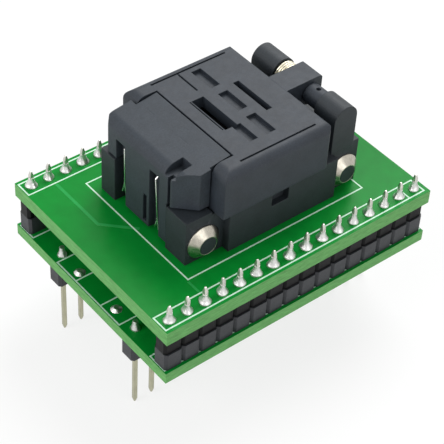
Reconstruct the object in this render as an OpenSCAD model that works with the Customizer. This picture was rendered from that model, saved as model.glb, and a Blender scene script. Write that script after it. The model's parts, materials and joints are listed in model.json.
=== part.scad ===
// Clamshell test socket for a square leadless chip, on a two-board adapter with two rows of DIP pins.
// Millimetres. X runs along the boards towards the hinge, Z is up, and the pin tips stand on z = 0.

/* [Boards] */
// Board past the last cell of a pin row, along X
edge_x = 0.18; // [0.1:0.02:2]
// Board past the rows of stacking pins, along Y
edge_y = 1.53; // [1.4:0.01:3]
// Thickness of the lower board
lower_t = 1.6; // [1.2:0.1:2]
// Thickness of the upper board
upper_t = 2; // [1.6:0.1:2.4]
// Space between the two boards
board_gap = 4.8; // [4.6:0.1:6]
// Diameter of the plated holes
hole_d = 0.9; // [0.8:0.05:1]

/* [Pins] */
// Pins in each row
pin_count = 16; // [12:1:16]
// Distance between neighbouring pins
pin_pitch = 2.54; // [2.5:0.01:2.54]
// Side of a square pin
pin_side = 0.5; // [0.4:0.02:0.54]
// Length of the taper at a pin's tip
pin_taper = 0.6; // [0.3:0.1:1]
// Distance between the two rows of DIP pins
dip_row = 15.24; // [14:0.02:16]
// Free length of a DIP pin below its header
dip_free = 9; // [6:0.5:12]
// Distance between the two rows of stacking pins
stack_row = 27.94; // [27.6:0.02:28]
// Height of a stacking pin above the upper board
stack_rise = 2.3; // [1.6:0.1:3]
// Height of a header's plastic body
header_h = 2.5; // [2:0.1:2.6]
// Width of a header's plastic body
header_w = 2.4; // [2:0.1:2.5]
// Width of the upper stacking headers
slim_w = 2; // [1.8:0.1:2.4]
// Height of a solder cone
solder_h = 1.1; // [0.6:0.1:1.4]
// Radius of a solder cone at its foot
solder_r = 0.8; // [0.6:0.05:1]
// Distance of the spare pad rows from the middle
spare_y = 3.81; // [3.6:0.01:4]

/* [Socket base] */
// Front face of the base
base_front = -12.35; // [-12.6:0.05:-12.3]
// Rear face of the base
base_rear = 14.2; // [14.2:0.1:15]
// Left side of the base at its ends
base_left = 8.6; // [8.1:0.05:8.8]
// Right side of the base at its ends
base_right = 8.1; // [8:0.05:8.5]
// Half width of the base between its ends
waist_half = 9.2; // [9:0.05:9.4]
// Front end of the wide middle
waist_front = -6.8; // [-7.2:0.1:-6.6]
// Rear end of the wide middle
waist_rear = 9.9; // [9:0.1:10.2]
// Height of the base under the lid
base_h = 6.1; // [5.6:0.1:6.4]
// Height of the base's ends
end_h = 6.5; // [6.2:0.1:6.6]
// Thickness of the base's floor
floor_t = 1.2; // [0.8:0.1:1.6]
// Depth of the finger notches in the long sides
notch_h = 2.3; // [1.2:0.1:2.6]
// Radius of the round hinge towers
tower_r = 1.8; // [1.6:0.05:1.9]
// Outer face of the left hinge tower
tower_left_out = 7.4; // [7:0.1:8]
// Outer face of the right hinge tower
tower_right_out = 8.2; // [7.8:0.1:8.4]
// Inner face of the left hinge tower
tower_left = 3.4; // [3.3:0.1:4]
// Inner face of the right hinge tower
tower_right = 4.5; // [4:0.1:5]

/* [Chip seat] */
// Side of the square chip
chip = 5; // [4.8:0.1:5.2]
// Place of the chip's middle along X
chip_x = 0.4; // [0:0.1:0.8]
// Thickness of the chip
chip_t = 0.85; // [0.75:0.05:1]
// Height of the stage that the chip lies on
stage_h = 2.6; // [2.4:0.1:2.8]
// Contacts on each side of the chip
contact_count = 8; // [6:1:9]
// Distance between neighbouring contacts
contact_pitch = 0.5; // [0.45:0.05:0.5]
// Thickness of a contact
contact_t = 0.2; // [0.15:0.01:0.25]
// Height of the chip guide above the base's floor
guide_h = 3.6; // [3.2:0.1:3.8]

/* [Corner eyelets] */
// Radius of an eyelet's flare at the base's side
eyelet_r = 2.3; // [2:0.05:2.35]
// Radius of the plastic core inside an eyelet
core_r = 1.2; // [1:0.05:1.5]
// Reach of an eyelet out of the base's side
eyelet_l = 1.05; // [0.6:0.05:1.2]
// Height of an eyelet's centre above the board
eyelet_h = 2.6; // [2.4:0.1:3]
// Place of the front eyelets along X
eyelet_front = -9.8; // [-9.9:0.1:-9.4]
// Place of the rear eyelets along X
eyelet_rear = 11.9; // [11.4:0.1:12]

/* [Hinge] */
// Place of the hinge along X
hinge_x = 11.4; // [11.2:0.1:11.8]
// Height of the hinge above the upper board
hinge_h = 10.8; // [10.6:0.1:11]
// Radius of the hinge pin
hinge_pin_r = 0.75; // [0.6:0.05:0.9]
// Running clearance round the pins
run = 0.05; // [0.02:0.01:0.08]
// Wire radius of the hinge spring
coil_wire = 0.14; // [0.1:0.01:0.15]
// Turns of the hinge spring
coil_turns = 3; // [2:1:3]
// Radius of the hinge spring's coil
coil_r = 1.5; // [1.3:0.05:1.6]
// Radius of the collar on the hinge pin
bush_r = 1.35; // [1.1:0.05:1.5]

/* [Lid] */
// Height of the lid's top above the upper board
lid_top = 12.8; // [12.6:0.1:13.2]
// Gap between the base and the lid
parting = 0.2; // [0.15:0.05:0.3]
// Half width of the lid
lid_half = 9.8; // [9.5:0.1:10]
// Rear face of the lid
lid_rear = 7.7; // [7.3:0.1:7.8]
// Front of the lid's two arms
arm_front = -8.3; // [-8.6:0.05:-8.1]
// Rounding of the lid's long edges
edge_r = 1.2; // [0.6:0.1:1.4]
// Rounding of the lid's rear corners
corner_r = 0.5; // [0.2:0.1:0.8]
// Thickness of the lid's roof
roof_t = 1.6; // [1.3:0.1:1.8]
// Half width of the hinge arm
arm_half = 1.7; // [1.4:0.05:1.8]
// Rear end of the hinge arm
arm_end = 13.2; // [12.9:0.1:13.4]
// Length of a blind pocket along Y
pocket_l = 3.8; // [3:0.1:4.2]
// Distance between neighbouring blind pockets
pocket_step = 5.2; // [4.8:0.1:5.3]
// Depth of the blind pockets in the lid's top
pocket_d = 0.55; // [0.3:0.05:0.8]
// Width of the fine grooves in the lid's top
groove_w = 0.25; // [0.15:0.05:0.35]
// Depth of the fine grooves
groove_d = 0.25; // [0.15:0.05:0.4]

/* [Latch] */
// Front face of the latch
latch_front = -12.2; // [-12.4:0.05:-12.1]
// Seam between the lid and the latch
seam_x = -5.2; // [-5.4:0.05:-5]
// Clearance round the latch
latch_gap = 0.25; // [0.22:0.01:0.35]
// Half width of the latch between the lid's arms
latch_half = 7; // [6.6:0.1:7]
// Left end of the latch's nose
nose_left = 8; // [7.6:0.1:8.2]
// Right end of the latch's nose
nose_right = 7.3; // [7.1:0.1:7.6]
// Height of the nose's lower edge above the board
nose_low = 6.8; // [6.8:0.1:7.4]
// Left side of the tongue
tongue_left = 3.85; // [3.7:0.05:4]
// Right side of the tongue
tongue_right = 4.1; // [3.9:0.05:4.3]
// Height of the tongue's lower end above the board
tongue_low = 0.6; // [0.4:0.1:1]
// Thickness of the latch's walls
latch_t = 1.35; // [1.2:0.05:1.45]
// Drop of the latch's top from its seam to its front face
latch_drop = 1; // [0.4:0.05:1.2]
// Rounding of the latch's front edge
nose_r = 1.5; // [1.1:0.1:1.6]
// Place of the latch pin along X
latch_pin_x = -6.4; // [-6.6:0.1:-6.3]
// Height of the latch pin above the upper board
latch_pin_h = 11.5; // [11.4:0.05:11.6]
// Radius of the latch pin
latch_pin_r = 0.45; // [0.35:0.05:0.5]
// Reach of the latch's hook
hook = 0.4; // [0.3:0.05:0.5]
// Wire radius of the latch springs
strand_r = 0.14; // [0.1:0.01:0.16]

/* [Pressure pad] */
// Length of the pad's plate along X
pad_l = 7.6; // [6.8:0.1:8]
// Width of the pad's plate along Y
pad_w = 10.4; // [9:0.1:11]
// Thickness of the pad's plate
pad_t = 2.4; // [2.2:0.1:2.5]
// Side of the foot that presses on the chip
foot = 4.2; // [3.8:0.1:4.4]
// Travel of the pad against its springs
pad_travel = 0.4; // [0.2:0.05:0.45]
// Radius of the pad springs' coils
pad_coil_r = 0.6; // [0.5:0.05:0.7]
// Wire radius of the pad springs
pad_wire_r = 0.12; // [0.08:0.01:0.14]
// Radius of the pin that carries the pad
pad_pin_r = 0.5; // [0.4:0.05:0.55]

/* [Hidden] */
$fn = 48;

// The boards reach past their rows of pins
board_l = pin_count * pin_pitch + 2 * edge_x;
board_w = stack_row + 2 * edge_y;
// Levels from the pin tips up
dip_z = dip_free;
lower_z = dip_z + header_h;
lower_top = lower_z + lower_t;
upper_z = lower_top + board_gap;
deck = upper_z + upper_t;
// The upper stacking headers fill what the lower ones leave of the gap
slim_h = board_gap - header_h;
// Tail of a soldered pin past the board
tail = 0.9;
// Overshoot of a cut past the face that it opens
eps = 0.5;
// The latch rests this far off the base, and the tongue's slot leaves as much beside it
tongue_gap = 0.2;
tongue_back = latch_front + latch_t;
// Hook behind the tongue: its lower side, its blunt tip and the lean of its upper side. The side leans as
// the hook's path does when the lid swings, so the lid can also open with the latch shut.
hook_low = 1.2;
hook_t = 0.7;
hook_lean = 2.4;
hook_play = 0.15;
// Wall of the base behind the hook
way_back = tongue_back + hook + hook_play;
// Inside of the latch: its ceiling, and how far the nose's ends stay solid
latch_under = latch_pin_h - 0.9;
nose_wall = 1.2;
nose_corner = 2.3;
nose_back = arm_front - 0.15;
// Spring slots down the latch's front
left_slot = [tongue_left + 0.1, tongue_left + 1.9];
right_slot = [-2.7, -0.8];
slot_top = 9.7;
short_slit_top = 5.2;
// Notch in the nose, from side to side and back
nose_notch = [-5.3, -3.6];
nose_notch_d = 2.6;
// Each latch spring's strand, as [y, height]: its bend at the slot's top and its forked end
left_bend = [4.5, 8.9];
left_fork = [4.4, 3.5];
right_bend = [-1.6, 8.6];
right_fork = [-2.1, 2.6];
// Height of the catch's front and rear side
catch_front = 1.7;
catch_rear = 2.7;
slot_d = 0.95;
// Reach of the latch pin into each arm of the lid
pin_seat = 1.6;
pad_pin_seat = 1.1;
lid_low = base_h + parting;
// The base's ends stand this far off the lid
end_gap = 0.3;
corner_back = arm_front - end_gap;
// Sides of the way for the tongue, with room for the left spring beside it
way_right = tongue_right + tongue_gap;
way_left = left_slot[1] + 0.1;
// Blind end of the hinge bore in the right tower
tower_end = 0.8;
// The lid's pocket at the side of the wide slot, and the rear end of its long grooves
side_pocket_x = [-2.15, -0.95];
side_pocket_y = [-6.45, -3.2];
groove_end = 6.1;
// Inside of the lid
hollow_front = -4.2;
hollow_rear = 6;
hollow_half = 7.6;
// The well in the base that takes the chip guide
well_l = 13.2;
well_w = 14;
guide_play = 0.1;
// Chip seat
chip_play = 0.1;
wall_h = stage_h + 1;
trench_in = chip / 2 + 0.35;
trench_w = 0.9;
trench_l = contact_count * contact_pitch + 0.5;
// Pressure pad, set by the chip that it meets
foot_z = stage_h + chip_t + 0.05;
pad_pin_h = 8.6;
plate_low = 7.3;
block = 6;
block_low = 5.4;
pad_top = plate_low + pad_t;
roof = lid_top - roof_t;

// Extrudes an XZ outline along Y, from y0 to y1
module along_y(y0, y1) translate([0, y1, 0]) rotate([90, 0, 0]) linear_extrude(y1 - y0) children();

// Extrudes a YZ outline along X, from x0 to x1
module along_x(x0, x1) translate([x0, 0, 0]) rotate([90, 0, 90]) linear_extrude(x1 - x0) children();

// A box from its lowest to its highest corner
module span(lo, hi) translate(lo) cube(hi - lo);

// A shaft along Y at (x, z), from y0 to y1
module shaft(x, z, r, y0, y1) translate([x, y1, z]) rotate([90, 0, 0]) cylinder(r = r, h = y1 - y0);

// A rectangle from (x0, y0) to (x1, y1) whose upper corners have their own radii
module cushion(x0, y0, x1, y1, r0, r1) {
    difference() {
        translate([x0, y0]) square([x1 - x0, y1 - y0]);
        if (r0 > 0) corner_waste(x0, y1, r0, 1);
        if (r1 > 0) corner_waste(x1, y1, r1, -1);
    }
}

// What a rounded upper corner leaves out; side is 1 at the left corner and -1 at the right one
module corner_waste(x, y, r, side) {
    difference() {
        translate([side > 0 ? x - 1 : x - r, y - r]) square([r + 1, r + 1]);
        translate([x + side * r, y - r]) circle(r);
    }
}

function pin_x(i) = (i - (pin_count - 1) / 2) * pin_pitch;
function contact_y(i) = (i - (contact_count - 1) / 2) * contact_pitch;
function unit(v) = v / norm(v);

// A round wire of radius r along a path; ref is a direction that the path never follows
module wire(path, r, ref, sides = 8) {
    n = len(path);
    function tangent(i) = unit(path[min(i + 1, n - 1)] - path[max(i - 1, 0)]);
    function across(i) = unit(cross(ref, tangent(i)));
    points = [for (i = [0:n - 1]) for (k = [0:sides - 1])
        path[i] + r * (cos(360 * k / sides) * across(i)
            + sin(360 * k / sides) * cross(tangent(i), across(i)))];
    walls = [for (i = [0:n - 2]) for (k = [0:sides - 1])
        [i * sides + k, (i + 1) * sides + k, (i + 1) * sides + (k + 1) % sides,
            i * sides + (k + 1) % sides]];
    first = [for (k = [0:sides - 1]) k];
    last = [for (k = [sides - 1:-1:0]) (n - 1) * sides + k];
    polyhedron(points = points, faces = concat(walls, [first, last]));
}

// A row of square pins at y, from z0 to z1, tapered at the ends that low and high ask for
module pin_row(y, z0, z1, low, high) {
    h = pin_side / 2;
    t = h * 0.45;
    bottom = low ? [[-h, z0 + pin_taper], [-t, z0], [t, z0], [h, z0 + pin_taper]] : [[-h, z0], [h, z0]];
    top = high ? [[h, z1 - pin_taper], [t, z1], [-t, z1], [-h, z1 - pin_taper]] : [[h, z1], [-h, z1]];
    profile = concat(bottom, top);
    intersection() {
        along_y(y - h, y + h) for (i = [0:pin_count - 1]) translate([pin_x(i), 0]) polygon(profile);
        along_x(-board_l, board_l) translate([y, 0]) polygon(profile);
    }
}

// A row of round holes through a board
module hole_row(y, z0, z1) {
    for (i = [0:pin_count - 1]) translate([pin_x(i), y, z0]) cylinder(d = hole_d, h = z1 - z0);
}

// A header's body: one chamfered cell for each pin, with a square hole that the pin fills
module header(y, z, w, h) {
    half = pin_pitch / 2;
    nick = 0.32;
    translate([0, y, z]) linear_extrude(h) difference() {
        union() {
            // Spine that joins the cells
            square([pin_count * pin_pitch, w - 2 * nick], center = true);
            for (i = [0:pin_count - 1]) translate([pin_x(i), 0])
                polygon([[-half, -w / 2 + nick], [-half + nick, -w / 2], [half - nick, -w / 2],
                    [half, -w / 2 + nick], [half, w / 2 - nick], [half - nick, w / 2],
                    [-half + nick, w / 2], [-half, w / 2 - nick]]);
        }
        for (i = [0:pin_count - 1]) translate([pin_x(i), 0]) square(pin_side, center = true);
    }
}

// Solder cones round a row of pins; side is 1 above a board and -1 below it
module solder_row(y, z, side) {
    difference() {
        for (i = [0:pin_count - 1]) translate([pin_x(i), y, side > 0 ? z : z - solder_h])
            cylinder(r1 = side > 0 ? solder_r : pin_side * 0.8,
                r2 = side > 0 ? pin_side * 0.8 : solder_r, h = solder_h);
        along_y(y - pin_side / 2, y + pin_side / 2) for (i = [0:pin_count - 1])
            translate([pin_x(i) - pin_side / 2, z - 2 * solder_h]) square([pin_side, 4 * solder_h]);
    }
}

module lower_board() color("seagreen") difference() {
    span([-board_l / 2, -board_w / 2, lower_z], [board_l / 2, board_w / 2, lower_top]);
    for (s = [-1, 1]) {
        hole_row(s * dip_row / 2, lower_z - eps, lower_top + eps);
        hole_row(s * stack_row / 2, lower_z - eps, lower_top + eps);
    }
}

module upper_board() color("seagreen") difference() {
    span([-board_l / 2, -board_w / 2, upper_z], [board_l / 2, board_w / 2, deck]);
    for (s = [-1, 1]) hole_row(s * stack_row / 2, upper_z - eps, deck + eps);
}

module dip_header(side) color("dimgray") header(side * dip_row / 2, dip_z, header_w, header_h);
module dip_pins(side) color("silver") pin_row(side * dip_row / 2, 0, lower_top + tail, true, false);
module stack_header_lower(side) color("dimgray")
    header(side * stack_row / 2, lower_top, header_w, header_h);
module stack_header_upper(side) color("black")
    header(side * stack_row / 2, lower_top + header_h, slim_w, slim_h);
module stack_pins(side) color("silver")
    pin_row(side * stack_row / 2, lower_z - tail, deck + stack_rise, false, true);
module solder_upper() color("silver") for (s = [-1, 1]) solder_row(s * stack_row / 2, deck, 1);
module solder_lower() color("silver") for (s = [-1, 1]) solder_row(s * dip_row / 2, lower_top, 1);
module solder_under() color("silver") for (s = [-1, 1]) solder_row(s * stack_row / 2, lower_z, -1);

// Tinned pads of the two unused inner rows
module spare_pads() color("silver") for (s = [-1, 1]) for (i = [0:pin_count - 1])
    translate([pin_x(i), s * spare_y, lower_top]) cylinder(r1 = 0.75, r2 = 0.35, h = 0.3);

module tower(y0, y1) {
    shaft(hinge_x, deck + hinge_h, tower_r, y0, y1);
    span([hinge_x - tower_r, y0, deck + end_h - eps], [hinge_x + tower_r, y1, deck + hinge_h]);
}

// Trench for the contacts' legs, on all four sides of the stage
module trenches(z0, z1) translate([chip_x, 0, 0]) for (a = [0, 90, 180, 270]) rotate(a)
    span([trench_in, -trench_l / 2, z0], [trench_in + trench_w, trench_l / 2, z1]);

// A slot for each contact's arm, from the stage's edge out to the trench
module contact_slots() translate([chip_x, 0, deck + stage_h]) for (a = [0, 90, 180, 270]) rotate(a)
    for (i = [0:contact_count - 1]) translate([0, contact_y(i), 0])
        span([chip / 2 - 0.35, -contact_t / 2 - 0.06, -0.4], [trench_in + 0.1, contact_t / 2 + 0.06, 0.35]);

// The base from the back of the latch's tongue to its rear, with the hinge towers
module socket_base() color([0.16, 0.17, 0.18]) difference() {
    union() {
        span([way_back, -way_right, deck], [corner_back, way_left, deck + base_h]);
        span([corner_back, -base_right, deck], [base_rear, base_left, deck + base_h]);
        span([lid_rear + end_gap, -base_right, deck], [base_rear, base_left, deck + end_h]);
        span([waist_front, -waist_half, deck], [waist_rear, waist_half, deck + base_h]);
        tower(tower_left, tower_left_out);
        tower(-tower_right_out, -tower_right);
    }
    // Well for the chip guide
    span([chip_x - well_l / 2, -well_w / 2, deck + floor_t],
        [chip_x + well_l / 2, well_w / 2, deck + max(base_h, end_h) + eps]);
    trenches(deck - eps, deck + floor_t + eps);
    translate([chip_x, 0, deck - eps]) cylinder(r = 0.4, h = floor_t + 2 * eps);
    // Finger notches under the lid
    for (s = [-1, 1]) span([-0.4, s > 0 ? waist_half - 0.9 : -waist_half - eps, deck + base_h - notch_h],
        [2.2, s > 0 ? waist_half + eps : -waist_half + 0.9, deck + base_h + eps]);
    shaft(hinge_x, deck + hinge_h, hinge_pin_r, tower_end - tower_right_out, tower_left_out + eps);
}

// The base's two front corners, on either side of the way for the latch's tongue
module front_corners() color([0.16, 0.17, 0.18]) {
    span([base_front, -base_right, deck], [corner_back, -way_right, deck + end_h]);
    span([base_front, way_left, deck], [corner_back, base_left, deck + end_h]);
}

// Round cores that stand out of the base's sides and fill the corner eyelets
module side_cores() color([0.16, 0.17, 0.18]) for (x = [eyelet_front, eyelet_rear]) {
    shaft(x, deck + eyelet_h, core_r, -base_right - eyelet_l, -base_right);
    shaft(x, deck + eyelet_h, core_r, base_left, base_left + eyelet_l);
}

// Lip of the base that holds the latch's hook down
module latch_catch() color([0.16, 0.17, 0.18]) {
    front = tongue_back + tongue_gap;
    low = hook_low + hook_t;
    along_y(0.4 - tongue_right, tongue_left - 0.4) translate([0, deck]) polygon([[way_back, low],
        [front, low + (way_back - front) * hook_lean], [front, low + catch_front],
        [way_back, low + catch_rear]]);
}

module chip_guide() color([0.24, 0.25, 0.27]) {
    z0 = deck + floor_t;
    half_l = well_l / 2 - guide_play;
    half_w = well_w / 2 - guide_play;
    pocket = chip / 2 + chip_play;
    top = guide_h + floor_t;
    difference() {
        span([chip_x - half_l, -half_w, z0], [chip_x + half_l, half_w, deck + top]);
        // Pocket round the chip, and the slopes that lead the chip into it
        span([chip_x - pocket, -pocket, deck + stage_h], [chip_x + pocket, pocket, deck + top + eps]);
        intersection() {
            along_y(-half_w - eps, half_w + eps) translate([chip_x, deck]) funnel(pocket, top);
            along_x(-half_l - eps, half_l + eps) translate([0, deck]) funnel(pocket, top);
        }
        trenches(z0 - eps, deck + stage_h + 0.35);
        contact_slots();
        translate([chip_x, 0, z0 - eps]) cylinder(r = 0.4, h = stage_h + eps);
    }
}

// Slope section of the chip guide, from the pocket's wall out to the top
module funnel(pocket, top) {
    rise = top - wall_h + eps;
    polygon([[-pocket, wall_h], [pocket, wall_h], [pocket + rise, wall_h + rise],
        [-pocket - rise, wall_h + rise]]);
}

// One spring contact: a leg in the trench and an arm that reaches in under the chip's edge
module contact_blade() {
    x = trench_in + 0.3;
    t = contact_t;
    along_y(-t / 2, t / 2) polygon([[x, deck], [x + 0.3, deck], [x + 0.3, deck + stage_h - 0.15],
        [x + 0.1, deck + stage_h], [x - 0.75, deck + stage_h + 0.12], [x - 0.85, deck + stage_h + 0.05],
        [x - 0.75, deck + stage_h - 0.02], [x, deck + stage_h - 0.2]]);
}

module contacts() color([0.85, 0.7, 0.35]) translate([chip_x, 0, 0]) for (a = [0, 90, 180, 270])
    rotate(a) for (i = [0:contact_count - 1]) translate([0, contact_y(i), 0]) contact_blade();

module ground_pin() color([0.85, 0.7, 0.35]) translate([chip_x, 0, deck])
    cylinder(r = 0.4, h = stage_h + 0.05);

// Flared metal eyelets round the base's four side cores. The waist hides the front of the rear ones.
module corner_eyelets() color("gainsboro") difference() {
    for (x = [eyelet_front, eyelet_rear]) for (y = [-base_right, base_left])
        translate([x, y, deck + eyelet_h]) rotate([y > 0 ? -90 : 90, 0, 0]) rotate_extrude()
            polygon([[core_r, 0], [eyelet_r, 0], [eyelet_r, 0.15], [core_r + 0.1, eyelet_l],
                [core_r, eyelet_l]]);
    span([waist_front, -lid_half, deck - eps], [waist_rear, lid_half, deck + base_h]);
}

module hinge_pin() color("silver")
    shaft(hinge_x, deck + hinge_h, hinge_pin_r, tower_end - tower_right_out, tower_left_out - 0.2);

// Torsion spring between the arm and the left tower: one leg reaches under the lid's arm, and the
// other one stands on the base
module hinge_spring() color([0.93, 0.88, 0.7]) {
    play = 0.1;
    turns = coil_turns + 0.75;
    steps = 20;
    y0 = arm_half + play + coil_wire;
    pitch = (tower_left - arm_half - 2 * play - 2 * coil_wire) / turns;
    coil = [for (i = [0:steps * turns]) [hinge_x + coil_r * cos(360 * i / steps - 90),
        y0 + pitch * i / steps, deck + hinge_h + coil_r * sin(360 * i / steps - 90)]];
    under = deck + hinge_h - coil_r;
    path = concat([[lid_rear + 1.1, arm_half - 0.7, under], [lid_rear + 1.1, y0 - 0.2, under],
        [lid_rear + 1.3, y0, under], [hinge_x - 0.6, y0, under]], coil,
        [[hinge_x - coil_r, y0 + pitch * turns, deck + end_h]]);
    wire(path, coil_wire, [0.3, 0.9, 0.3]);
}

// Collar on the hinge pin between the arm and the right tower
module hinge_bush() color([0.3, 0.31, 0.34]) difference() {
    shaft(hinge_x, deck + hinge_h, bush_r, -tower_right, -arm_half - 0.1);
    shaft(hinge_x, deck + hinge_h, hinge_pin_r, -tower_right - eps, -arm_half + eps);
    // Dimple in the collar's upper side
    translate([hinge_x, -(arm_half + tower_right) / 2, deck + hinge_h + bush_r - 0.35])
        cylinder(r = 0.3, h = 1);
}

// The lid's outer form: a side view, a front view and the arm that runs back to the hinge
module lid_form() {
    z0 = deck + lid_low;
    z1 = deck + lid_top;
    intersection() {
        along_y(-lid_half, lid_half) cushion(arm_front, z0, lid_rear, z1, 1.4, 0.5);
        along_x(arm_front - eps, lid_rear + eps) cushion(-lid_half, z0, lid_half, z1, edge_r, edge_r);
        translate([0, 0, z0 - eps]) linear_extrude(z1 - z0 + 2 * eps) rotate(-90)
            cushion(-lid_half, arm_front, lid_half, lid_rear, corner_r, corner_r);
    }
    along_y(-arm_half, arm_half) {
        cushion(lid_rear - eps, deck + hinge_h - 0.9, arm_end, z1 - 0.1, 0, 0.4);
        translate([hinge_x, deck + hinge_h]) circle(tower_r);
    }
}

// A blind pocket or slot in the lid's top
module top_cut(x0, x1, y0, y1, depth) span([x0, y0, deck + lid_top - depth], [x1, y1, deck + lid_top + eps]);

module lid() color([0.2, 0.21, 0.22]) difference() {
    lid_form();
    // Hollow that holds the pressure pad
    span([hollow_front, -hollow_half, deck + lid_low - eps], [hollow_rear, hollow_half, deck + roof]);
    // Room between the arms for the latch, above the front bar
    span([arm_front - eps, -latch_half - latch_gap, deck + lid_low + 3.4],
        [seam_x, latch_half + latch_gap, deck + lid_top + eps]);
    // Through slots
    top_cut(-3.15, -1.4, -3.2, 3.2, roof_t + eps);
    top_cut(3.1, 3.95, -3.15, 3.15, roof_t + eps);
    // Fine slit in front of the wide slot, which leaves a thin rib
    top_cut(-3.45, -3.3, -3.0, 3.2, pocket_d);
    // Blind pockets
    for (i = [0:2]) top_cut(0.3, 1.7, pocket_step * i - 6.5, pocket_step * i - 6.5 + pocket_l, pocket_d);
    top_cut(side_pocket_x[0], side_pocket_x[1], side_pocket_y[0], side_pocket_y[1], pocket_d);
    // Fine grooves
    for (y = [edge_r - lid_half, lid_half - edge_r - groove_w])
        top_cut(seam_x, groove_end, y, y + groove_w, groove_d);
    top_cut(-1.4, -1.4 + groove_w, 4.5, lid_half - edge_r, groove_d);
    // Bores
    shaft(hinge_x, deck + hinge_h, hinge_pin_r + run, -arm_half - eps, arm_half + eps);
    shaft(latch_pin_x, deck + latch_pin_h, latch_pin_r, -latch_half - pin_seat, latch_half + pin_seat);
    shaft(chip_x, deck + pad_pin_h, pad_pin_r, -hollow_half - pad_pin_seat, hollow_half + pad_pin_seat);
}

module latch_pin() color("silver")
    shaft(latch_pin_x, deck + latch_pin_h, latch_pin_r, -latch_half - pin_seat, latch_half + pin_seat);

// Side view of the latch's outside, from its sloping top down to low; the front edge is rounded, and the
// rounding meets the slope without a crease
module latch_side(low) {
    rear = seam_x - latch_gap;
    top = deck + lid_top;
    lean = latch_drop / (rear - latch_front);
    away = unit([-lean, 1]);
    mid = [latch_front + nose_r, top - lean * (rear - latch_front - nose_r) - nose_r / away[1]];
    difference() {
        polygon([[latch_front, deck + low], [latch_front, top - latch_drop], [rear, top],
            [rear, deck + low]]);
        difference() {
            polygon([[latch_front - 1, mid[1]], mid, mid + 3 * away, [latch_front - 1, top + 1]]);
            translate(mid) circle(nose_r);
        }
    }
}

// Plan of the latch: narrow between the arms, wide at its nose, with a corner cut off at the right
module latch_plan() {
    polygon([[seam_x, -latch_half], [seam_x, latch_half], [nose_back, latch_half], [nose_back, nose_left],
        [latch_front + 0.6, nose_left], [latch_front, nose_left - 0.6],
        [latch_front, nose_corner - nose_right], [latch_front + nose_corner, -nose_right],
        [nose_back, -nose_right], [nose_back, -latch_half]]);
}

// Slots down the latch's front: two for the springs, one narrow one between them and one in the nose
module front_slots() {
    for (s = [left_slot, right_slot]) {
        span([latch_front - eps, s[0], deck], [latch_front + slot_d, s[1], deck + slot_top]);
        // Open to the inside at the top
        span([latch_front - eps, s[0], deck + slot_top - 1.2], [tongue_back + eps, s[1], deck + slot_top]);
        // Room for the coil on the pin
        span([latch_pin_x - 1.6, s[0] + 0.1, deck],
            [latch_pin_x + 1.5, s[1] - 0.1, deck + latch_pin_h + 0.88]);
    }
    span([latch_front - eps, -0.35, deck + 1], [latch_front + 0.5, 0.35, deck + short_slit_top]);
    span([latch_front - eps, -4.75, deck], [latch_front + 0.8, -4.25, deck + lid_top]);
}

// The latch's cover and nose, above the tongue
module latch() color([0.22, 0.23, 0.24]) difference() {
    intersection() {
        along_y(-lid_half, lid_half) latch_side(nose_low);
        translate([0, 0, deck]) linear_extrude(lid_top + eps) latch_plan();
    }
    // Inside, between the nose's solid ends and under the cover
    span([tongue_back, nose_corner - nose_right - 0.1, deck],
        [nose_back + eps, nose_left - nose_wall, deck + latch_under]);
    span([nose_back, -lid_half, deck], [seam_x, lid_half, deck + latch_under]);
    front_slots();
    // Notch in the nose
    span([latch_front - eps, nose_notch[0], deck + latch_pin_h - 0.6],
        [latch_front + nose_notch_d, nose_notch[1], deck + lid_top + eps]);
    shaft(latch_pin_x, deck + latch_pin_h, latch_pin_r + run, -lid_half, lid_half);
}

// The tongue that hangs from the latch's nose
module latch_tongue() color([0.22, 0.23, 0.24]) difference() {
    span([latch_front, -tongue_right, deck + tongue_low], [tongue_back, tongue_left, deck + nose_low]);
    front_slots();
}

// The hook on the tongue's back
module latch_hook() color([0.22, 0.23, 0.24]) {
    x = tongue_back + hook;
    along_y(0.5 - tongue_right, tongue_left - 0.5) translate([0, deck]) polygon([[tongue_back, hook_low],
        [x, hook_low], [x, hook_low + hook_t], [tongue_back, hook_low + hook_t + hook * hook_lean]]);
}

// Spring of the latch: a coil on the latch pin and a strand that comes out at the slot's top and runs
// down the front to its forked end. Both ends of the strand are given as [y, height].
module latch_spring(high, fork) color("silver") {
    r = latch_pin_r + run + strand_r + 0.05;
    steps = 12;
    turns = 1.5;
    pitch = 2 * strand_r + 0.04;
    front = latch_front + 0.35;
    y = high[0];
    coil = [for (i = [steps * turns:-1:0]) [latch_pin_x - r * sin(360 * i / steps),
        y + pitch * i / steps, deck + latch_pin_h - r * cos(360 * i / steps)]];
    wire(concat(coil, [[latch_pin_x - 0.8, y, deck + latch_pin_h - r - 0.02],
        [tongue_back + 0.6, y, deck + slot_top - 0.35], [tongue_back - 0.2, y, deck + slot_top - 0.5],
        [front, y, deck + high[1]], [front, fork[0], deck + fork[1]],
        [front, fork[0] - 0.25, deck + fork[1] - 1.4]]), strand_r, [0, 1, 0.1]);
    wire([[front, fork[0] + 0.05, deck + fork[1] + 0.1], [front, fork[0] + 0.5, deck + fork[1] - 1.4]],
        strand_r, [1, 0, 0]);
}

module pressure_pad() color([0.19, 0.2, 0.21]) difference() {
    translate([chip_x, 0, deck]) union() {
        span([-pad_l / 2, -pad_w / 2, plate_low], [pad_l / 2, pad_w / 2, pad_top]);
        span([-block / 2, -block / 2, block_low], [block / 2, block / 2, plate_low + eps]);
        span([-foot / 2, -foot / 2, foot_z], [foot / 2, foot / 2, block_low + eps]);
    }
    // Slotted bore that lets the pad rise on its pin
    along_y(-pad_w / 2 - eps, pad_w / 2 + eps) translate([chip_x, deck + pad_pin_h]) {
        circle(pad_pin_r + run);
        translate([-pad_pin_r - run, -pad_travel]) square([2 * (pad_pin_r + run), pad_travel]);
        translate([0, -pad_travel]) circle(pad_pin_r + run);
    }
}

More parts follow.
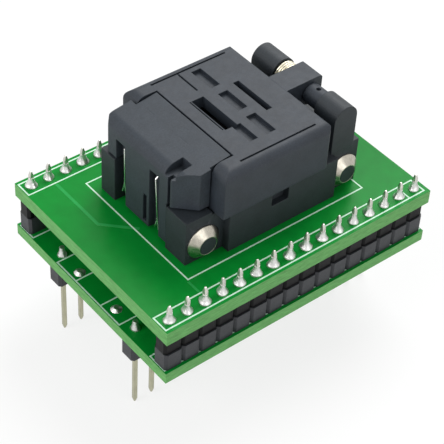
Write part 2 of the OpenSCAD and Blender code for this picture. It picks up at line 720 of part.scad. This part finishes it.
module pad_pin() color("silver")
    shaft(chip_x, deck + pad_pin_h, pad_pin_r, -hollow_half - pad_pin_seat, hollow_half + pad_pin_seat);

// Four compression springs between the pad's plate and the lid's roof
module pad_springs() color("silver") {
    turns = 3;
    steps = 10;
    low = deck + pad_top + pad_wire_r + 0.02;
    rise = roof - pad_top - 2 * pad_wire_r - 0.04;
    for (x = [-1, 1] * (pad_l / 2 - 2 * pad_coil_r)) for (y = [-1, 1] * (pad_w / 2 - 2 * pad_coil_r))
        wire([for (i = [0:steps * turns]) [chip_x + x + pad_coil_r * cos(360 * i / steps),
            y + pad_coil_r * sin(360 * i / steps), low + rise * i / (steps * turns)]],
            pad_wire_r, [0, 0, 1], 6);
}

lower_board();
upper_board();
dip_header(1);  // dip_header_left
dip_header(-1);  // dip_header_right
dip_pins(1);  // dip_pins_left
dip_pins(-1);  // dip_pins_right
stack_header_lower(1);  // stack_header_lower_left
stack_header_lower(-1);  // stack_header_lower_right
stack_header_upper(1);  // stack_header_upper_left
stack_header_upper(-1);  // stack_header_upper_right
stack_pins(1);  // stack_pins_left
stack_pins(-1);  // stack_pins_right
solder_upper();
solder_lower();
solder_under();
spare_pads();
socket_base();
chip_guide();
front_corners();
side_cores();
latch_catch();
contacts();
ground_pin();
corner_eyelets();
hinge_pin();
hinge_spring();
hinge_bush();
lid();
latch();
latch_tongue();
latch_hook();
latch_pin();
latch_spring(left_bend, left_fork);  // latch_spring_left
latch_spring(right_bend, right_fork);  // latch_spring_right
pressure_pad();
pad_pin();
pad_springs();
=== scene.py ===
"""Looks of the clamshell test socket on its two-board adapter.

Finishes, softened edges, solder, print, traces, floor, light and camera. All lengths are in metres, in the
frame's own axes, and MM turns millimetres into them. Colours are linear red, green and blue.
"""
import bpy
import bmesh
import json
import math
import random
from mathutils import Matrix, Vector

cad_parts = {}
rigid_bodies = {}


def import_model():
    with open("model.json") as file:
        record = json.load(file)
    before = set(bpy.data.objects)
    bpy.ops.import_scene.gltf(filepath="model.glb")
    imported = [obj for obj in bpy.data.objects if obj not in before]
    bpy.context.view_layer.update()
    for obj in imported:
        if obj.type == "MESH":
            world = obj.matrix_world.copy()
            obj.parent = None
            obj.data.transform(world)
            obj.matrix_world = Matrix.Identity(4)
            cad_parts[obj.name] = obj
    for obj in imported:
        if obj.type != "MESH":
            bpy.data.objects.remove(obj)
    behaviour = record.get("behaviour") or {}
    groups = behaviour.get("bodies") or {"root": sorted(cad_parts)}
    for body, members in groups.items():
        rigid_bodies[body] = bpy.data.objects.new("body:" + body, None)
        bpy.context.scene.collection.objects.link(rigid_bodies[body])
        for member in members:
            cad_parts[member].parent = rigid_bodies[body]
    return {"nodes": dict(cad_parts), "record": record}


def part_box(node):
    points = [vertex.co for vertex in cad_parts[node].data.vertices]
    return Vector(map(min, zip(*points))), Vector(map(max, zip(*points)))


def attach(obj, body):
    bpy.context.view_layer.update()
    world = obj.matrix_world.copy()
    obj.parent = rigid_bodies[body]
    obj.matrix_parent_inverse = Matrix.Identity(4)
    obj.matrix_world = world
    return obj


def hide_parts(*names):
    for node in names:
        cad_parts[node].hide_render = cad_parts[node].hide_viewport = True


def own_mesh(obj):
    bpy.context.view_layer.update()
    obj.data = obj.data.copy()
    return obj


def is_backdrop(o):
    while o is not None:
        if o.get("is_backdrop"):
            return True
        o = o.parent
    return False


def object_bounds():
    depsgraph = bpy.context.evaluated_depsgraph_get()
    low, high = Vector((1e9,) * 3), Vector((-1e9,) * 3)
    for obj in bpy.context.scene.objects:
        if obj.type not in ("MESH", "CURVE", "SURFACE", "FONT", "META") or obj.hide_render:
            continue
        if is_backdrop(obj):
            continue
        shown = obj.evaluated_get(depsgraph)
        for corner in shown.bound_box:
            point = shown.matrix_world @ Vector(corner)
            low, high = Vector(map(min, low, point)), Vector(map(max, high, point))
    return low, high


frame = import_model()
MM = 0.001
LOW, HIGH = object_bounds()
ROOT = "socket"

# Levels of the boards' faces, read from the frame
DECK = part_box("upper_board")[1][2]
LOWER_LOW, LOWER_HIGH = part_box("lower_board")
LOWER_BOTTOM, LOWER_TOP = LOWER_LOW[2], LOWER_HIGH[2]

# The pin rows, as in part.scad: pins in a row, their pitch, and how far each row is from the middle
PINS = 16
PITCH = 2.54 * MM
STACK_ROW = 13.97 * MM
DIP_ROW = 7.62 * MM


def pin_x(i):
    """Where pin i of a row is along X."""
    return (i - (PINS - 1) / 2) * PITCH


# ---------------------------------------------------------------- materials

# Sockets of a Mix node that mixes colours
MIX_A, MIX_B, MIX_RESULT = 6, 7, 2
# A surface whose normal has more of Z than this is a board's face, and any other is its edge
FACE_NORMAL = 0.6
MASK_ROUGHNESS, EDGE_ROUGHNESS = 0.3, 0.62
BEVEL_SAMPLES = 6


def material(name, colour, roughness, metallic=0.0, specular=0.5):
    """A new material, its node tree and its shader."""
    made = bpy.data.materials.new(name)
    made.use_nodes = True
    shader = made.node_tree.nodes["Principled BSDF"]
    shader.inputs["Base Color"].default_value = (*colour, 1)
    shader.inputs["Roughness"].default_value = roughness
    shader.inputs["Metallic"].default_value = metallic
    shader.inputs["Specular IOR Level"].default_value = specular
    return made, made.node_tree, shader


def object_point(tree, stretch=(1, 1, 1)):
    """The surface point in the frame's axes, in metres, stretched."""
    place = tree.nodes.new("ShaderNodeTexCoord")
    mapping = tree.nodes.new("ShaderNodeMapping")
    mapping.inputs["Scale"].default_value = stretch
    tree.links.new(place.outputs["Object"], mapping.inputs["Vector"])
    return mapping.outputs["Vector"]


def noise(tree, grain, detail=3.0, roughness=0.5, stretch=(1, 1, 1)):
    """Noise whose patches are about grain metres across."""
    node = tree.nodes.new("ShaderNodeTexNoise")
    node.inputs["Scale"].default_value = 1 / grain
    node.inputs["Detail"].default_value = detail
    node.inputs["Roughness"].default_value = roughness
    tree.links.new(object_point(tree, stretch), node.inputs["Vector"])
    return node.outputs["Fac"]


def ramp(tree, value, stops):
    """A colour ramp over value; stops are (place, colour) pairs."""
    node = tree.nodes.new("ShaderNodeValToRGB")
    while len(node.color_ramp.elements) < len(stops):
        node.color_ramp.elements.new(0.5)
    for element, (place, colour) in zip(node.color_ramp.elements, stops):
        element.position = place
        element.color = (*colour, 1)
    tree.links.new(value, node.inputs["Fac"])
    return node.outputs["Color"]


def spread(tree, value, low, high):
    """value, from 0 to 1, mapped to low to high."""
    node = tree.nodes.new("ShaderNodeMapRange")
    node.inputs["To Min"].default_value = low
    node.inputs["To Max"].default_value = high
    tree.links.new(value, node.inputs["Value"])
    return node.outputs["Result"]


def bump(tree, shader, value, depth, strength=1.0, under=None):
    """Bumps of the given depth in metres on the shader, over those of under."""
    node = tree.nodes.new("ShaderNodeBump")
    node.inputs["Distance"].default_value = depth
    node.inputs["Strength"].default_value = strength
    tree.links.new(value, node.inputs["Height"])
    if under is not None:
        tree.links.new(under, node.inputs["Normal"])
    tree.links.new(node.outputs["Normal"], shader.inputs["Normal"])
    return node.outputs["Normal"]


def soft_edge(tree, radius):
    """A normal that rounds the edges over a radius in metres."""
    node = tree.nodes.new("ShaderNodeBevel")
    node.samples = BEVEL_SAMPLES
    node.inputs["Radius"].default_value = radius
    return node.outputs["Normal"]


def multiply(tree, first, second):
    """The product of two colours."""
    node = tree.nodes.new("ShaderNodeMix")
    node.data_type = "RGBA"
    node.blend_type = "MULTIPLY"
    node.inputs["Factor"].default_value = 1
    tree.links.new(first, node.inputs[MIX_A])
    tree.links.new(second, node.inputs[MIX_B])
    return node.outputs[MIX_RESULT]


def shade(colour, factor):
    """colour made darker or paler."""
    return tuple(min(1.0, c * factor) for c in colour)


def moulded_plastic(name, colour, grain, depth, low, high, edge, specular=0.4):
    """Moulded plastic with an eroded texture, cloudy flow marks, an uneven sheen and soft edges.

    grain and depth are those of its texture, and its roughness runs from low to high.
    """
    made, tree, shader = material(name, colour, (low + high) / 2, specular=specular)
    cloud = noise(tree, 2.4 * MM, detail=4)
    tint = ramp(tree, cloud, [(0.3, shade(colour, 0.86)), (0.7, shade(colour, 1.14))])
    grit = noise(tree, 0.2 * MM, detail=3, roughness=0.7)
    speckle = ramp(tree, grit, [(0.32, (0.76,) * 3), (0.68, (1.3,) * 3)])
    tint = multiply(tree, tint, speckle)
    tree.links.new(tint, shader.inputs["Base Color"])
    tree.links.new(spread(tree, noise(tree, 0.8 * MM), low, high), shader.inputs["Roughness"])
    soft = soft_edge(tree, edge)
    coarse = bump(tree, shader, noise(tree, 1.1 * MM, detail=2), 0.02 * MM, 0.4, under=soft)
    bump(tree, shader, noise(tree, grain, detail=2, roughness=0.6), depth, 1.0, under=coarse)
    return made


def metal(name, colour, low, high, stretch=(1, 1, 1), grain=0.3 * MM, depth=0.006 * MM, edge=0.05 * MM):
    """Metal with streaks along the axes that stretch makes small; its roughness runs from low to high."""
    made, tree, shader = material(name, colour, (low + high) / 2, metallic=1.0)
    streak = noise(tree, grain, detail=4, stretch=stretch)
    tint = ramp(tree, streak, [(0.25, shade(colour, 0.78)), (0.75, shade(colour, 1.1))])
    tree.links.new(tint, shader.inputs["Base Color"])
    tree.links.new(spread(tree, noise(tree, 0.7 * MM), low, high), shader.inputs["Roughness"])
    bump(tree, shader, streak, depth, under=soft_edge(tree, edge))
    return made


def circuit_board(name, mask, core):
    """Solder mask on the faces, and sawn glass-fibre laminate on the edges."""
    made, tree, shader = material(name, mask, MASK_ROUGHNESS, specular=0.08)
    normal = tree.nodes.new("ShaderNodeSeparateXYZ")
    coords = tree.nodes.new("ShaderNodeTexCoord")
    tree.links.new(coords.outputs["Normal"], normal.inputs["Vector"])
    flat = tree.nodes.new("ShaderNodeMath")
    flat.operation = "ABSOLUTE"
    tree.links.new(normal.outputs["Z"], flat.inputs[0])
    face = tree.nodes.new("ShaderNodeMath")
    face.operation = "GREATER_THAN"
    face.inputs[1].default_value = FACE_NORMAL
    tree.links.new(flat.outputs[0], face.inputs[0])
    weave = noise(tree, 1.5 * MM, detail=5)
    mask_tint = ramp(tree, weave, [(0.25, shade(mask, 0.92)), (0.75, shade(mask, 1.08))])
    layers = noise(tree, 0.5 * MM, detail=5, roughness=0.7, stretch=(0.35, 0.35, 3))
    core_tint = ramp(tree, layers,
                     [(0.25, shade(core, 0.62)), (0.55, core), (0.8, shade(core, 1.35))])
    mix = tree.nodes.new("ShaderNodeMix")
    mix.data_type = "RGBA"
    tree.links.new(face.outputs[0], mix.inputs["Factor"])
    tree.links.new(core_tint, mix.inputs[MIX_A])
    tree.links.new(mask_tint, mix.inputs[MIX_B])
    tree.links.new(mix.outputs[MIX_RESULT], shader.inputs["Base Color"])
    rough = spread(tree, face.outputs[0], EDGE_ROUGHNESS, MASK_ROUGHNESS)
    tree.links.new(rough, shader.inputs["Roughness"])
    ripple = noise(tree, 0.35 * MM, detail=3)
    bump(tree, shader, ripple, 0.008 * MM, 0.5, under=soft_edge(tree, 0.05 * MM))
    return made


def printed_ink(name, colour):
    """Screen-printed ink, a little thin in places."""
    made, tree, shader = material(name, colour, 0.6)
    thin = ramp(tree, noise(tree, 0.25 * MM, detail=4), [(0.3, shade(colour, 0.8)), (0.6, colour)])
    tree.links.new(thin, shader.inputs["Base Color"])
    bump(tree, shader, noise(tree, 0.1 * MM), 0.005 * MM)
    return made


# The lid, the base and the latch are one plastic; the base's copy carries painted shade, darker, and the
# latch's painted light, paler
SOCKET_FINISH = {"grain": 0.12 * MM, "depth": 0.008 * MM, "low": 0.5, "high": 0.64, "edge": 0.14 * MM}
PLASTIC = moulded_plastic("socket_plastic", (0.019, 0.025, 0.034), **SOCKET_FINISH)
# Painted shade: the base is coloured darker than the lid, for the shade that falls low near the board
BASE_PLASTIC_PAINTED_SHADE = moulded_plastic("base_plastic_painted_shade", (0.016, 0.021, 0.026), **SOCKET_FINISH)
# Painted light: the latch is coloured paler than the lid, for the light that falls on its front
LATCH_PLASTIC_PAINTED_LIGHT = moulded_plastic("latch_plastic_painted_light", (0.022, 0.029, 0.038), **SOCKET_FINISH)
INNER = moulded_plastic("inner_plastic", (0.024, 0.025, 0.029), grain=0.15 * MM, depth=0.008 * MM,
                        low=0.55, high=0.7, edge=0.08 * MM)
HEADER = moulded_plastic("header_plastic", (0.024, 0.026, 0.031), grain=0.2 * MM, depth=0.008 * MM,
                         low=0.42, high=0.6, edge=0.07 * MM)
# Painted shade: the slim header is coloured near black, for the shade under the upper board
SLIM_HEADER_PAINTED_SHADE = moulded_plastic("slim_header_plastic", (0.003, 0.003, 0.0035), grain=0.2 * MM,
                              depth=0.008 * MM, low=0.4, high=0.6, edge=0.07 * MM, specular=0.15)
GREEN = (0.002, 0.235, 0.027)
LAMINATE = (0.15, 0.4, 0.13)
BOARD = circuit_board("circuit_board", GREEN, LAMINATE)
TRACE = circuit_board("masked_copper", (0.02, 0.33, 0.07), LAMINATE)
INK = printed_ink("board_print", (0.62, 0.88, 0.7))
PIN = metal("pin_plating", (0.46, 0.45, 0.32), low=0.25, high=0.42, stretch=(1, 1, 0.2))
TINNED = metal("tinned_pin", (0.66, 0.65, 0.6), low=0.25, high=0.42, stretch=(1, 1, 0.2))
SOLDER = metal("solder", (0.74, 0.73, 0.72), low=0.24, high=0.46, grain=0.4 * MM, depth=0.035 * MM)
EYELET = metal("eyelet_steel", (0.5, 0.47, 0.4), low=0.22, high=0.36, stretch=(1, 0.15, 1),
               edge=0.12 * MM)
SHAFT = metal("pin_steel", (0.66, 0.66, 0.65), low=0.2, high=0.34, stretch=(0.2, 1, 0.2))
WIRE = metal("spring_steel", (0.8, 0.8, 0.78), low=0.16, high=0.3, stretch=(1, 1, 0.15))
GILT = metal("spring_gilt", (0.9, 0.85, 0.68), low=0.3, high=0.5)
GOLD = metal("contact_gold", (0.85, 0.65, 0.3), low=0.2, high=0.34)

SLOT_LOOKS = {
    "circuit_board": BOARD, "header_plastic": HEADER, "slim_header_plastic": SLIM_HEADER_PAINTED_SHADE,
    "pin_plating": PIN, "solder": SOLDER, "socket_plastic": PLASTIC, "inner_plastic": INNER,
    "contact_gold": GOLD, "eyelet_steel": EYELET, "pin_steel": SHAFT, "spring_steel": WIRE,
    "spring_gilt": GILT,
}
NODE_SLOTS = {s["node"]: s["material_slot"] for s in frame["record"]["subparts"]}
NODE_BODIES = {n: b for b, ns in frame["record"]["behaviour"]["bodies"].items() for n in ns}


def dress_nodes():
    """Gives every CAD node the look of its material slot."""
    for name, node in frame["nodes"].items():
        for place in node.material_slots:
            place.material = SLOT_LOOKS[NODE_SLOTS[name]]


# ---------------------------------------------------------------- pieces

# Up to these angles between faces, in degrees, the shading runs on smoothly
SMOOTH = 35
MOULDING_SMOOTH = 12
SOLDER_SMOOTH = 60
# Rounding of a CAD copy's edges: the distance that joins its points, the angle in degrees that still counts
# as flat, the angle from which an edge is rounded, and the round's steps and form
WELD = 1e-6
FLAT = 0.4
SHARP = 28
ROUND_STEPS = 2
ROUND_FORM = 0.6


def add_piece(name, mesh, look, body):
    """A new piece of the object, from a finished mesh."""
    piece = bpy.data.objects.new(name, mesh)
    bpy.context.scene.collection.objects.link(piece)
    mesh.materials.clear()
    mesh.materials.append(look)
    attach(piece, body)
    return piece


def mesh_from(name, form, smooth_angle=SMOOTH):
    """A mesh from a bmesh, smooth up to an angle in degrees."""
    mesh = bpy.data.meshes.new(name)
    bmesh.ops.recalc_face_normals(form, faces=form.faces)
    form.to_mesh(mesh)
    form.free()
    mesh.polygons.foreach_set("use_smooth", [True] * len(mesh.polygons))
    mesh.set_sharp_from_angle(angle=math.radians(smooth_angle))
    return mesh


def soften(node, width, look):
    """Replaces a CAD node with a copy whose edges are rounded over width."""
    form = bmesh.new()
    form.from_mesh(frame["nodes"][node].data)
    bmesh.ops.remove_doubles(form, verts=form.verts, dist=WELD)
    bmesh.ops.dissolve_limit(form, angle_limit=math.radians(FLAT), verts=form.verts, edges=form.edges)
    limit = math.radians(SHARP)
    sharp = [e for e in form.edges if len(e.link_faces) == 2 and e.calc_face_angle(0) > limit]
    bmesh.ops.bevel(form, geom=sharp, offset=width, offset_type="OFFSET", segments=ROUND_STEPS,
                    profile=ROUND_FORM, affect="EDGES", clamp_overlap=False)
    name = node + "_soft"
    piece = add_piece(name, mesh_from(name, form), look, NODE_BODIES[node])
    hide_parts(node)


def fused(name, nodes, look):
    """One moulded piece from CAD nodes that only the collision model keeps apart."""
    scene = bpy.context.scene
    work = bpy.data.objects.new(name + "_work", frame["nodes"][nodes[0]].data.copy())
    scene.collection.objects.link(work)
    for other in nodes[1:]:
        join = work.modifiers.new(other, "BOOLEAN")
        join.operation = "UNION"
        join.solver = "EXACT"
        join.object = frame["nodes"][other]
    joined = work.evaluated_get(bpy.context.evaluated_depsgraph_get())
    solid = bpy.data.meshes.new_from_object(joined)
    bpy.data.objects.remove(work)
    form = bmesh.new()
    form.from_mesh(solid)
    bpy.data.meshes.remove(solid)
    bmesh.ops.triangulate(form, faces=form.faces)
    body, slot = NODE_BODIES[nodes[0]], NODE_SLOTS[nodes[0]]
    piece = add_piece(name, mesh_from(name, form, MOULDING_SMOOTH), look, body)
    for node in nodes:
        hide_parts(node)


def strip(form, points, width, z, height, closed=False):
    """A raised flat line along points on a board, mitred at its corners."""
    path = [Vector(p) for p in points]
    count = len(path)
    sides = []
    for i, point in enumerate(path):
        ways = []
        if closed or i > 0:
            ways.append((point - path[i - 1]).normalized())
        if closed or i < count - 1:
            ways.append((path[(i + 1) % count] - point).normalized())
        normals = [Vector((-w.y, w.x)) for w in ways]
        mitre = sum(normals, Vector((0, 0))).normalized()
        mitre *= width / 2 / mitre.dot(normals[0])
        sides.append((point - mitre, point + mitre))
    rings = []
    for right, left in sides:
        corners = ((*right, z), (*right, z + height), (*left, z + height), (*left, z))
        rings.append([form.verts.new(corner) for corner in corners])
    for i in range(count if closed else count - 1):
        near, far = rings[i], rings[(i + 1) % count]
        for k in range(4):
            form.faces.new((near[k], far[k], far[(k + 1) % 4], near[(k + 1) % 4]))
    if not closed:
        form.faces.new(rings[0])
        form.faces.new(rings[-1][::-1])


def outline(form, low, high, width, z, height):
    """A printed rectangle."""
    strip(form, [(low[0], low[1]), (high[0], low[1]), (high[0], high[1]), (low[0], high[1])],
          width, z, height, closed=True)


# The print, fitted to what the photograph shows of it: the width and height of its lines, the socket's
# outline, the upper board's two header outlines with a line across each, and the lower board's outlines
INK_WIDTH, INK_HEIGHT = 0.19 * MM, 0.02 * MM
SOCKET_OUTLINE = (-13.42 * MM, -10.11 * MM), (13.87 * MM, 10.38 * MM)
UPPER_HEADER_Y = 12.66 * MM, 15.0 * MM
UPPER_HEADER_X = -20.3 * MM, 19.85 * MM
UPPER_CROSS_X = 17.4 * MM
LOWER_END = 20.3 * MM
LOWER_MIDDLE_Y = -6.1 * MM, 6.83 * MM
LOWER_CROSS_Y = -2.23 * MM, 2.88 * MM
LOWER_HEADER_Y = 12.19 * MM, 14.95 * MM


def board_print():
    """White printed outlines on both boards."""
    form = bmesh.new()
    outline(form, *SOCKET_OUTLINE, INK_WIDTH, DECK, INK_HEIGHT)
    left, right = UPPER_HEADER_X
    for side in (-1, 1):
        low, high = sorted(side * y for y in UPPER_HEADER_Y)
        outline(form, (left, low), (right, high), INK_WIDTH, DECK, INK_HEIGHT)
        strip(form, [(UPPER_CROSS_X, low + INK_WIDTH / 2), (UPPER_CROSS_X, high - INK_WIDTH / 2)],
              INK_WIDTH, DECK, INK_HEIGHT)
    add_piece("print_upper", mesh_from("print_upper", form), INK, ROOT)

    form = bmesh.new()
    low, high = LOWER_MIDDLE_Y
    outline(form, (-LOWER_END, low), (LOWER_END, high), INK_WIDTH, LOWER_TOP, INK_HEIGHT)
    inside = LOWER_END - INK_WIDTH / 2
    for across in LOWER_CROSS_Y:
        strip(form, [(-inside, across), (inside, across)], INK_WIDTH, LOWER_TOP, INK_HEIGHT)
    for side in (-1, 1):
        low, high = sorted(side * y for y in LOWER_HEADER_Y)
        outline(form, (-LOWER_END, low), (LOWER_END, high), INK_WIDTH, LOWER_TOP, INK_HEIGHT)
    add_piece("print_lower", mesh_from("print_lower", form), INK, ROOT)


# The two traces that show: the points along each, and its width
TRACE_HEIGHT = 0.012 * MM
LEFT_TRACE = [(-16.45 * MM, 12.45 * MM), (-16.45 * MM, 3.6 * MM), (-12.9 * MM, 0.05 * MM)], 0.42 * MM
RIGHT_TRACE = [(-13.6 * MM, -10.4 * MM), (-13.6 * MM, -12.45 * MM)], 0.3 * MM


def copper_traces():
    """The traces that show under the upper board's mask."""
    form = bmesh.new()
    for points, width in (LEFT_TRACE, RIGHT_TRACE):
        strip(form, points, width, DECK, TRACE_HEIGHT)
    add_piece("traces_upper", mesh_from("traces_upper", form), TRACE, ROOT)


# Solder joints: the radius of the foot of one round a stacking pin and round a DIP pin, the height of a whole
# one, its radius near the top, the height of the foot's rim, and the least share of a foot and of a height
STACK_FOOT, DIP_FOOT = 0.84 * MM, 0.68 * MM
JOINT_RISE = 1.35 * MM
JOINT_NECK = 0.34 * MM
JOINT_RIM = 0.05 * MM
LEAST_FOOT, LEAST_RISE = 0.9, 0.84
# Shares of the foot's radius where a joint meets the board, and of the neck's where it ends on the pin
UNDERCUT, TIP = 0.98, 0.5
JOINT_STEPS = 9
ROUND_SIDES = 20
# How far a joint is from round, as a share of its radius, and the part of that with three lobes
WOBBLE = 0.05
THREE_LOBES = 0.6


def lathe(form, at, profile, rng):
    """A slightly wobbly solid of revolution about Z at a point; profile is a list of (radius, height)."""
    # Only the first two phases are used. The third keeps the random draws of the joints after this one.
    phases = [rng.uniform(0, math.tau) for _ in range(3)]
    rings = []
    for radius, height in profile:
        ring = []
        for s in range(ROUND_SIDES):
            a = math.tau * s / ROUND_SIDES
            lobes = math.sin(2 * a + phases[0]) + THREE_LOBES * math.sin(3 * a + phases[1])
            r = radius * (1 + WOBBLE * lobes)
            ring.append(form.verts.new((at[0] + r * math.cos(a), at[1] + r * math.sin(a), at[2] + height)))
        rings.append(ring)
    for low, high in zip(rings, rings[1:]):
        for s in range(ROUND_SIDES):
            after = (s + 1) % ROUND_SIDES
            form.faces.new((low[s], low[after], high[after], high[s]))
    form.faces.new(rings[0][::-1])
    form.faces.new(rings[-1])


def solder_joint(form, at, side, rng, width):
    """A concave cone of solder that climbs a pin; side is 1 above a board and -1 below it."""
    foot = width * rng.uniform(LEAST_FOOT, 1.0)
    rise = JOINT_RISE * rng.uniform(LEAST_RISE, 1.0)
    profile = [(foot * UNDERCUT, 0.0)]
    for k in range(JOINT_STEPS):
        t = k / (JOINT_STEPS - 1)
        radius = JOINT_NECK + (foot - JOINT_NECK) * (1 - t) ** 2
        profile.append((radius, side * (JOINT_RIM + (rise - JOINT_RIM) * t)))
    profile.append((JOINT_NECK * TIP, side * rise))
    if side < 0:
        profile = profile[::-1]
    lathe(form, at, profile, rng)


def solder(node, row, z, side, seed, width):
    """All solder joints of one CAD node, in the two rows that lie row from the middle."""
    rng = random.Random(seed)
    form = bmesh.new()
    for y in (-row, row):
        for i in range(PINS):
            solder_joint(form, (pin_x(i), y, z), side, rng, width)
    name = node + "_cones"
    piece = add_piece(name, mesh_from(name, form, SOLDER_SMOOTH), SOLDER, ROOT)
    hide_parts(node)


def shortening_springs(node):
    """A copy of the springs, on a mesh of its own, that takes the CAD node's place."""
    slot = NODE_SLOTS[node]
    mesh = frame["nodes"][node].data.copy()
    piece = add_piece(node + "_live", mesh, SLOT_LOOKS[slot], NODE_BODIES[node])
    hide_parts(node)
    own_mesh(piece)


# ---------------------------------------------------------------- stage

# The camera, from a fit to the photograph's pins, corners and print: its place in millimetres, its yaw and
# pitch in degrees, its roll in radians, and its lens and sensor in millimetres
CAMERA_PLACE = (-91.18, -104.56, 143.49)
YAW, PITCH_DOWN, ROLL = 48.90, -43.03, 0.064
LENS, SENSOR = 122.02, 36
# How near its clip starts and how far off it ends
CLIP = 0.01, 5
# The stage: how white the camera sees the floor and the world, from 0 to 1, the world's light on the object,
# the lamps' width and the point that they look at, and half the floor's side
FLOOR_WHITE, WORLD_WHITE = 0.8, 1.0
WORLD_LIGHT = 0.36
LAMP_SIZE = 0.35
AIM = (0, 0, 0.02)
FLOOR_HALF = 0.8


def camera():
    """The camera, where the fit to the photograph puts it."""
    made = bpy.data.cameras.new("camera")
    made.sensor_width = SENSOR
    made.lens = LENS
    made.clip_start, made.clip_end = CLIP
    yaw, pitch, roll = math.radians(YAW), math.radians(PITCH_DOWN), ROLL
    ahead = Vector((math.cos(pitch) * math.cos(yaw), math.cos(pitch) * math.sin(yaw),
                    math.sin(pitch)))
    level = Vector((math.sin(yaw), -math.cos(yaw), 0))
    up = level.cross(ahead)
    right = level * math.cos(roll) + up * math.sin(roll)
    up = right.cross(ahead)
    turn = Matrix((right, up, -ahead)).transposed().to_4x4()
    seen = bpy.data.objects.new("camera", made)
    seen.matrix_world = Matrix.Translation(Vector(CAMERA_PLACE) * MM) @ turn
    bpy.context.scene.collection.objects.link(seen)
    bpy.context.scene.camera = seen


def area_light(name, at, power):
    """A round white lamp that looks at the object."""
    lamp = bpy.data.lights.new(name, "AREA")
    lamp.shape = "DISK"
    lamp.size = LAMP_SIZE
    lamp.energy = power
    made = bpy.data.objects.new(name, lamp)
    made.location = at
    made.rotation_euler = (Vector(at) - Vector(AIM)).to_track_quat("Z", "Y").to_euler()
    bpy.context.scene.collection.objects.link(made)


def seen_white(tree, plain, strength):
    """Mixes plain with white, as much as strength, for the rays that look at the background."""
    path = tree.nodes.new("ShaderNodeLightPath")
    seen = path.outputs["Is Camera Ray"]
    for extra in ("Is Glossy Ray", "Is Transmission Ray"):
        both = tree.nodes.new("ShaderNodeMath")
        both.operation = "MAXIMUM"
        tree.links.new(seen, both.inputs[0])
        tree.links.new(path.outputs[extra], both.inputs[1])
        seen = both.outputs[0]
    part = tree.nodes.new("ShaderNodeMath")
    part.operation = "MULTIPLY"
    part.inputs[1].default_value = strength
    tree.links.new(seen, part.inputs[0])
    white = tree.nodes.new("ShaderNodeEmission")
    mix = tree.nodes.new("ShaderNodeMixShader")
    tree.links.new(part.outputs[0], mix.inputs["Fac"])
    tree.links.new(plain, mix.inputs[1])
    tree.links.new(white.outputs[0], mix.inputs[2])
    return mix.outputs[0]


def studio():
    """Floor, world and lamps."""
    world = bpy.data.worlds.new("studio")
    bpy.context.scene.world = world
    world.use_nodes = True
    tree = world.node_tree
    plain = tree.nodes["Background"]
    plain.inputs["Color"].default_value = (1, 1, 1, 1)
    plain.inputs["Strength"].default_value = WORLD_LIGHT
    shown = seen_white(tree, plain.outputs[0], WORLD_WHITE)
    tree.links.new(shown, tree.nodes["World Output"].inputs["Surface"])

    form = bmesh.new()
    bmesh.ops.create_grid(form, x_segments=1, y_segments=1, size=FLOOR_HALF)
    mesh = bpy.data.meshes.new("floor")
    form.to_mesh(mesh)
    form.free()
    floor = bpy.data.objects.new("floor", mesh)
    floor.location.z = LOW[2]
    bpy.context.scene.collection.objects.link(floor)
    look = bpy.data.materials.new("floor")
    look.use_nodes = True
    tree = look.node_tree
    shader = tree.nodes["Principled BSDF"]
    shader.inputs["Base Color"].default_value = (0.93, 0.93, 0.93, 1)
    shader.inputs["Roughness"].default_value = 0.8
    shown = seen_white(tree, shader.outputs[0], FLOOR_WHITE)
    tree.links.new(shown, tree.nodes["Material Output"].inputs["Surface"])
    mesh.materials.append(look)
    floor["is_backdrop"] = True

    area_light("key", (0.26, 0.14, 0.42), power=2.1)
    area_light("fill", (-0.42, 0.05, 0.30), power=1.15)
    area_light("side", (0.0, -0.45, 0.25), power=0.45)


# ---------------------------------------------------------------- build

# CAD nodes whose edges are rounded: how wide, and the look
SOFT_EDGES = {
    "dip_pins_left": (0.04 * MM, PIN), "dip_pins_right": (0.04 * MM, PIN),
    "stack_pins_left": (0.05 * MM, TINNED), "stack_pins_right": (0.05 * MM, TINNED),
}

camera()
dress_nodes()
for pins, (round_width, pin_look) in SOFT_EDGES.items():
    soften(pins, round_width, pin_look)
fused("base_moulding", ["socket_base", "front_corners", "side_cores", "latch_catch"],
      BASE_PLASTIC_PAINTED_SHADE)
fused("latch_moulding", ["latch", "latch_tongue", "latch_hook"], LATCH_PLASTIC_PAINTED_LIGHT)
shortening_springs("pad_springs")
board_print()
copper_traces()
solder("solder_upper", STACK_ROW, DECK, side=1, seed=3, width=STACK_FOOT)
solder("solder_lower", DIP_ROW, LOWER_TOP, side=1, seed=5, width=DIP_FOOT)
solder("solder_under", STACK_ROW, LOWER_BOTTOM, side=-1, seed=7, width=STACK_FOOT)
studio()

bpy.context.scene.view_settings.view_transform = "Standard"


def seen_box():
    """The lowest and highest corner of all that shows of the object."""
    points = []
    for thing in bpy.context.scene.objects:
        if thing.type in ("MESH", "CURVE") and not thing.hide_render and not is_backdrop(thing):
            points += [thing.matrix_world @ Vector(c) for c in thing.bound_box]
    return [[min(p[i] for p in points) for i in range(3)], [max(p[i] for p in points) for i in range(3)]]


bpy.context.view_layer.update()
seen_box()
